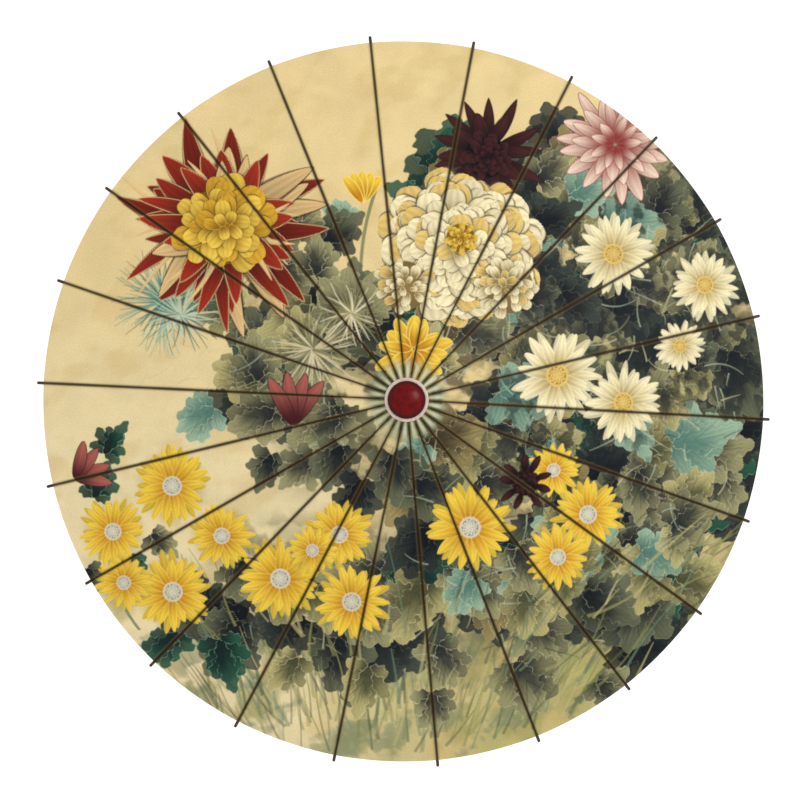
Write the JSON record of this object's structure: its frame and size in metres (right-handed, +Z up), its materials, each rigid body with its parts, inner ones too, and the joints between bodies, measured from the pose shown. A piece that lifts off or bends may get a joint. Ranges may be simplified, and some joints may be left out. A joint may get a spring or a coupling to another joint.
{
  "type": "oil paper umbrella",
  "caption": "Open oil paper umbrella with a painted flower canopy on bamboo ribs that fold with a sliding runner.",
  "frame": {"origin": "middle of the flat end of the handle, on the shaft axis", "axes": "+Z up the shaft towards the cap; the shaft axis is the middle of the canopy; the catch faces +X"},
  "size_m": [0.8346, 0.832, 0.5485],
  "materials": {
    "oiled_paper": "satin",
    "bamboo": "satin",
    "bamboo_rod": "satin",
    "dark_wood": "satin",
    "hub_wood": "matte",
    "pale_ring": "satin",
    "red_lacquer": "gloss",
    "brass": "satin",
    "wire": "satin"
  },
  "bodies": {
    "umbrella": {"shaft": "bamboo_rod", "handle_grip": "dark_wood", "handle_end": "dark_wood", "head": "hub_wood", "head_wire": "wire", "head_peg": "bamboo", "cap_ring": "pale_ring", "cap": "red_lacquer", "canopy": "oiled_paper", "catch_pin": "wire"},
    "rib_01": {"rib_01": "bamboo"},
    "stretcher_01": {"stretcher_01": "bamboo"},
    "rib_02": {"rib_02": "bamboo"},
    "stretcher_02": {"stretcher_02": "bamboo"},
    "rib_03": {"rib_03": "bamboo"},
    "stretcher_03": {"stretcher_03": "bamboo"},
    "rib_04": {"rib_04": "bamboo"},
    "stretcher_04": {"stretcher_04": "bamboo"},
    "rib_05": {"rib_05": "bamboo"},
    "stretcher_05": {"stretcher_05": "bamboo"},
    "rib_06": {"rib_06": "bamboo"},
    "stretcher_06": {"stretcher_06": "bamboo"},
    "rib_07": {"rib_07": "bamboo"},
    "stretcher_07": {"stretcher_07": "bamboo"},
    "rib_08": {"rib_08": "bamboo"},
    "stretcher_08": {"stretcher_08": "bamboo"},
    "rib_09": {"rib_09": "bamboo"},
    "stretcher_09": {"stretcher_09": "bamboo"},
    "rib_10": {"rib_10": "bamboo"},
    "stretcher_10": {"stretcher_10": "bamboo"},
    "rib_11": {"rib_11": "bamboo"},
    "stretcher_11": {"stretcher_11": "bamboo"},
    "rib_12": {"rib_12": "bamboo"},
    "stretcher_12": {"stretcher_12": "bamboo"},
    "rib_13": {"rib_13": "bamboo"},
    "stretcher_13": {"stretcher_13": "bamboo"},
    "rib_14": {"rib_14": "bamboo"},
    "stretcher_14": {"stretcher_14": "bamboo"},
    "rib_15": {"rib_15": "bamboo"},
    "stretcher_15": {"stretcher_15": "bamboo"},
    "rib_16": {"rib_16": "bamboo"},
    "stretcher_16": {"stretcher_16": "bamboo"},
    "rib_17": {"rib_17": "bamboo"},
    "stretcher_17": {"stretcher_17": "bamboo"},
    "rib_18": {"rib_18": "bamboo"},
    "stretcher_18": {"stretcher_18": "bamboo"},
    "rib_19": {"rib_19": "bamboo"},
    "stretcher_19": {"stretcher_19": "bamboo"},
    "rib_20": {"rib_20": "bamboo"},
    "stretcher_20": {"stretcher_20": "bamboo"},
    "rib_21": {"rib_21": "bamboo"},
    "stretcher_21": {"stretcher_21": "bamboo"},
    "rib_22": {"rib_22": "bamboo"},
    "stretcher_22": {"stretcher_22": "bamboo"},
    "runner": {"runner": "hub_wood", "runner_wire": "wire"},
    "catch": {"catch": "brass"}
  },
  "joints": [
    {"name": "fold", "type": "hinge", "parent": "umbrella", "child": "rib_01", "pos_m": [0.0175, 0.0042, 0.53], "axis": [-0.2334, 0.9724, 0], "range_deg": [0, 68.47], "deforming": ["canopy"]},
    {"name": "stretcher_01_pivot", "type": "hinge", "parent": "rib_01", "child": "stretcher_01", "pos_m": [0.18939, 0.04547, 0.46034], "axis": [-0.2334, 0.9724, 0], "range_deg": [-136.96, 0]},
    {"name": "rib_02_pivot", "type": "hinge", "parent": "umbrella", "child": "rib_02", "pos_m": [0.01561, 0.00896, 0.53], "axis": [-0.4979, 0.8672, 0], "range_deg": [0, 68.48]},
    {"name": "stretcher_02_pivot", "type": "hinge", "parent": "rib_02", "child": "stretcher_02", "pos_m": [0.16891, 0.09698, 0.46034], "axis": [-0.4979, 0.8672, 0], "range_deg": [-136.96, 0]},
    {"name": "rib_03_pivot", "type": "hinge", "parent": "umbrella", "child": "rib_03", "pos_m": [0.01245, 0.013, 0.53], "axis": [-0.7221, 0.6918, 0], "range_deg": [0, 68.48]},
    {"name": "stretcher_03_pivot", "type": "hinge", "parent": "rib_03", "child": "stretcher_03", "pos_m": [0.13474, 0.14064, 0.46034], "axis": [-0.7221, 0.6918, 0], "range_deg": [-136.96, 0]},
    {"name": "rib_04_pivot", "type": "hinge", "parent": "umbrella", "child": "rib_04", "pos_m": [0.00829, 0.01598, 0.53], "axis": [-0.8877, 0.4603, 0], "range_deg": [0, 68.48]},
    {"name": "stretcher_04_pivot", "type": "hinge", "parent": "rib_04", "child": "stretcher_04", "pos_m": [0.08966, 0.17291, 0.46034], "axis": [-0.8877, 0.4603, 0], "range_deg": [-136.96, 0]},
    {"name": "rib_05_pivot", "type": "hinge", "parent": "umbrella", "child": "rib_05", "pos_m": [0.00345, 0.01767, 0.53], "axis": [-0.9815, 0.1916, 0], "range_deg": [0, 68.48]},
    {"name": "stretcher_05_pivot", "type": "hinge", "parent": "rib_05", "child": "stretcher_05", "pos_m": [0.03732, 0.19116, 0.46034], "axis": [-0.9815, 0.1916, 0], "range_deg": [-136.96, 0]},
    {"name": "rib_06_pivot", "type": "hinge", "parent": "umbrella", "child": "rib_06", "pos_m": [-0.00167, 0.01792, 0.53], "axis": [-0.9957, -0.0927, 0], "range_deg": [0, 68.48]},
    {"name": "stretcher_06_pivot", "type": "hinge", "parent": "rib_06", "child": "stretcher_06", "pos_m": [-0.01805, 0.19393, 0.46034], "axis": [-0.9957, -0.0927, 0], "range_deg": [-136.96, 0]},
    {"name": "rib_07_pivot", "type": "hinge", "parent": "umbrella", "child": "rib_07", "pos_m": [-0.00665, 0.01673, 0.53], "axis": [-0.9292, -0.3695, 0], "range_deg": [0, 68.48]},
    {"name": "stretcher_07_pivot", "type": "hinge", "parent": "rib_07", "child": "stretcher_07", "pos_m": [-0.07196, 0.18099, 0.46034], "axis": [-0.9292, -0.3695, 0], "range_deg": [-136.96, 0]},
    {"name": "rib_08_pivot", "type": "hinge", "parent": "umbrella", "child": "rib_08", "pos_m": [-0.01109, 0.01418, 0.53], "axis": [-0.7875, -0.6163, 0], "range_deg": [0, 68.48]},
    {"name": "stretcher_08_pivot", "type": "hinge", "parent": "rib_08", "child": "stretcher_08", "pos_m": [-0.12003, 0.15339, 0.46034], "axis": [-0.7875, -0.6163, 0], "range_deg": [-136.96, 0]},
    {"name": "rib_09_pivot", "type": "hinge", "parent": "umbrella", "child": "rib_09", "pos_m": [-0.01464, 0.01048, 0.53], "axis": [-0.582, -0.8132, 0], "range_deg": [0, 68.48]},
    {"name": "stretcher_09_pivot", "type": "hinge", "parent": "rib_09", "child": "stretcher_09", "pos_m": [-0.15839, 0.11335, 0.46034], "axis": [-0.582, -0.8132, 0], "range_deg": [-136.96, 0]},
    {"name": "rib_10_pivot", "type": "hinge", "parent": "umbrella", "child": "rib_10", "pos_m": [-0.017, 0.00593, 0.53], "axis": [-0.3293, -0.9442, 0], "range_deg": [0, 68.48]},
    {"name": "stretcher_10_pivot", "type": "hinge", "parent": "rib_10", "child": "stretcher_10", "pos_m": [-0.18391, 0.06414, 0.46034], "axis": [-0.3293, -0.9442, 0], "range_deg": [-136.96, 0]},
    {"name": "rib_11_pivot", "type": "hinge", "parent": "umbrella", "child": "rib_11", "pos_m": [-0.01798, 0.0009, 0.53], "axis": [-0.05, -0.9988, 0], "range_deg": [0, 68.48]},
    {"name": "stretcher_11_pivot", "type": "hinge", "parent": "rib_11", "child": "stretcher_11", "pos_m": [-0.19453, 0.00973, 0.46034], "axis": [-0.05, -0.9988, 0], "range_deg": [-136.96, 0]},
    {"name": "rib_12_pivot", "type": "hinge", "parent": "umbrella", "child": "rib_12", "pos_m": [-0.0175, -0.0042, 0.53], "axis": [0.2334, -0.9724, 0], "range_deg": [0, 68.48]},
    {"name": "stretcher_12_pivot", "type": "hinge", "parent": "rib_12", "child": "stretcher_12", "pos_m": [-0.18939, -0.04547, 0.46034], "axis": [0.2334, -0.9724, 0], "range_deg": [-136.96, 0]},
    {"name": "rib_13_pivot", "type": "hinge", "parent": "umbrella", "child": "rib_13", "pos_m": [-0.01561, -0.00896, 0.53], "axis": [0.4979, -0.8672, 0], "range_deg": [0, 68.48]},
    {"name": "stretcher_13_pivot", "type": "hinge", "parent": "rib_13", "child": "stretcher_13", "pos_m": [-0.16891, -0.09698, 0.46034], "axis": [0.4979, -0.8672, 0], "range_deg": [-136.96, 0]},
    {"name": "rib_14_pivot", "type": "hinge", "parent": "umbrella", "child": "rib_14", "pos_m": [-0.01245, -0.013, 0.53], "axis": [0.7221, -0.6918, 0], "range_deg": [0, 68.48]},
    {"name": "stretcher_14_pivot", "type": "hinge", "parent": "rib_14", "child": "stretcher_14", "pos_m": [-0.13474, -0.14064, 0.46034], "axis": [0.7221, -0.6918, 0], "range_deg": [-136.96, 0]},
    {"name": "rib_15_pivot", "type": "hinge", "parent": "umbrella", "child": "rib_15", "pos_m": [-0.00829, -0.01598, 0.53], "axis": [0.8877, -0.4603, 0], "range_deg": [0, 68.48]},
    {"name": "stretcher_15_pivot", "type": "hinge", "parent": "rib_15", "child": "stretcher_15", "pos_m": [-0.08966, -0.17291, 0.46034], "axis": [0.8877, -0.4603, 0], "range_deg": [-136.96, 0]},
    {"name": "rib_16_pivot", "type": "hinge", "parent": "umbrella", "child": "rib_16", "pos_m": [-0.00345, -0.01767, 0.53], "axis": [0.9815, -0.1916, 0], "range_deg": [0, 68.48]},
    {"name": "stretcher_16_pivot", "type": "hinge", "parent": "rib_16", "child": "stretcher_16", "pos_m": [-0.03732, -0.19116, 0.46034], "axis": [0.9815, -0.1916, 0], "range_deg": [-136.96, 0]},
    {"name": "rib_17_pivot", "type": "hinge", "parent": "umbrella", "child": "rib_17", "pos_m": [0.00167, -0.01792, 0.53], "axis": [0.9957, 0.0927, 0], "range_deg": [0, 68.48]},
    {"name": "stretcher_17_pivot", "type": "hinge", "parent": "rib_17", "child": "stretcher_17", "pos_m": [0.01805, -0.19393, 0.46034], "axis": [0.9957, 0.0927, 0], "range_deg": [-136.96, 0]},
    {"name": "rib_18_pivot", "type": "hinge", "parent": "umbrella", "child": "rib_18", "pos_m": [0.00665, -0.01673, 0.53], "axis": [0.9292, 0.3695, 0], "range_deg": [0, 68.48]},
    {"name": "stretcher_18_pivot", "type": "hinge", "parent": "rib_18", "child": "stretcher_18", "pos_m": [0.07196, -0.18099, 0.46034], "axis": [0.9292, 0.3695, 0], "range_deg": [-136.96, 0]},
    {"name": "rib_19_pivot", "type": "hinge", "parent": "umbrella", "child": "rib_19", "pos_m": [0.01109, -0.01418, 0.53], "axis": [0.7875, 0.6163, 0], "range_deg": [0, 68.48]},
    {"name": "stretcher_19_pivot", "type": "hinge", "parent": "rib_19", "child": "stretcher_19", "pos_m": [0.12003, -0.15339, 0.46034], "axis": [0.7875, 0.6163, 0], "range_deg": [-136.96, 0]},
    {"name": "rib_20_pivot", "type": "hinge", "parent": "umbrella", "child": "rib_20", "pos_m": [0.01464, -0.01048, 0.53], "axis": [0.582, 0.8132, 0], "range_deg": [0, 68.48]},
    {"name": "stretcher_20_pivot", "type": "hinge", "parent": "rib_20", "child": "stretcher_20", "pos_m": [0.15839, -0.11335, 0.46034], "axis": [0.582, 0.8132, 0], "range_deg": [-136.96, 0]},
    {"name": "rib_21_pivot", "type": "hinge", "parent": "umbrella", "child": "rib_21", "pos_m": [0.017, -0.00593, 0.53], "axis": [0.3293, 0.9442, 0], "range_deg": [0, 68.48]},
    {"name": "stretcher_21_pivot", "type": "hinge", "parent": "rib_21", "child": "stretcher_21", "pos_m": [0.18391, -0.06414, 0.46034], "axis": [0.3293, 0.9442, 0], "range_deg": [-136.96, 0]},
    {"name": "rib_22_pivot", "type": "hinge", "parent": "umbrella", "child": "rib_22", "pos_m": [0.01798, -0.0009, 0.53], "axis": [0.05, 0.9988, 0], "range_deg": [0, 68.48]},
    {"name": "stretcher_22_pivot", "type": "hinge", "parent": "rib_22", "child": "stretcher_22", "pos_m": [0.19453, -0.00973, 0.46034], "axis": [0.05, 0.9988, 0], "range_deg": [-136.96, 0]},
    {"name": "runner_pivot", "type": "hinge", "parent": "stretcher_01", "child": "runner", "pos_m": [0.0175, 0.0042, 0.39068], "axis": [-0.2334, 0.9724, 0], "range_deg": [0, 68.48]},
    {"name": "catch_press", "type": "hinge", "parent": "umbrella", "child": "catch", "pos_m": [-0.002, 0, 0.32648], "axis": [0, -1, 0], "range_deg": [0, 6.5], "stiffness_Nm_per_rad": 0.05, "deforming": ["catch"]}
  ],
  "couplings": [
    {"joint": "stretcher_01_pivot", "follows": "fold", "ratio": -2},
    {"joint": "rib_02_pivot", "follows": "fold", "ratio": 1},
    {"joint": "stretcher_02_pivot", "follows": "fold", "ratio": -2},
    {"joint": "rib_03_pivot", "follows": "fold", "ratio": 1},
    {"joint": "stretcher_03_pivot", "follows": "fold", "ratio": -2},
    {"joint": "rib_04_pivot", "follows": "fold", "ratio": 1},
    {"joint": "stretcher_04_pivot", "follows": "fold", "ratio": -2},
    {"joint": "rib_05_pivot", "follows": "fold", "ratio": 1},
    {"joint": "stretcher_05_pivot", "follows": "fold", "ratio": -2},
    {"joint": "rib_06_pivot", "follows": "fold", "ratio": 1},
    {"joint": "stretcher_06_pivot", "follows": "fold", "ratio": -2},
    {"joint": "rib_07_pivot", "follows": "fold", "ratio": 1},
    {"joint": "stretcher_07_pivot", "follows": "fold", "ratio": -2},
    {"joint": "rib_08_pivot", "follows": "fold", "ratio": 1},
    {"joint": "stretcher_08_pivot", "follows": "fold", "ratio": -2},
    {"joint": "rib_09_pivot", "follows": "fold", "ratio": 1},
    {"joint": "stretcher_09_pivot", "follows": "fold", "ratio": -2},
    {"joint": "rib_10_pivot", "follows": "fold", "ratio": 1},
    {"joint": "stretcher_10_pivot", "follows": "fold", "ratio": -2},
    {"joint": "rib_11_pivot", "follows": "fold", "ratio": 1},
    {"joint": "stretcher_11_pivot", "follows": "fold", "ratio": -2},
    {"joint": "rib_12_pivot", "follows": "fold", "ratio": 1},
    {"joint": "stretcher_12_pivot", "follows": "fold", "ratio": -2},
    {"joint": "rib_13_pivot", "follows": "fold", "ratio": 1},
    {"joint": "stretcher_13_pivot", "follows": "fold", "ratio": -2},
    {"joint": "rib_14_pivot", "follows": "fold", "ratio": 1},
    {"joint": "stretcher_14_pivot", "follows": "fold", "ratio": -2},
    {"joint": "rib_15_pivot", "follows": "fold", "ratio": 1},
    {"joint": "stretcher_15_pivot", "follows": "fold", "ratio": -2},
    {"joint": "rib_16_pivot", "follows": "fold", "ratio": 1},
    {"joint": "stretcher_16_pivot", "follows": "fold", "ratio": -2},
    {"joint": "rib_17_pivot", "follows": "fold", "ratio": 1},
    {"joint": "stretcher_17_pivot", "follows": "fold", "ratio": -2},
    {"joint": "rib_18_pivot", "follows": "fold", "ratio": 1},
    {"joint": "stretcher_18_pivot", "follows": "fold", "ratio": -2},
    {"joint": "rib_19_pivot", "follows": "fold", "ratio": 1},
    {"joint": "stretcher_19_pivot", "follows": "fold", "ratio": -2},
    {"joint": "rib_20_pivot", "follows": "fold", "ratio": 1},
    {"joint": "stretcher_20_pivot", "follows": "fold", "ratio": -2},
    {"joint": "rib_21_pivot", "follows": "fold", "ratio": 1},
    {"joint": "stretcher_21_pivot", "follows": "fold", "ratio": -2},
    {"joint": "rib_22_pivot", "follows": "fold", "ratio": 1},
    {"joint": "stretcher_22_pivot", "follows": "fold", "ratio": -2},
    {"joint": "runner_pivot", "follows": "fold", "ratio": 1}
  ]
}
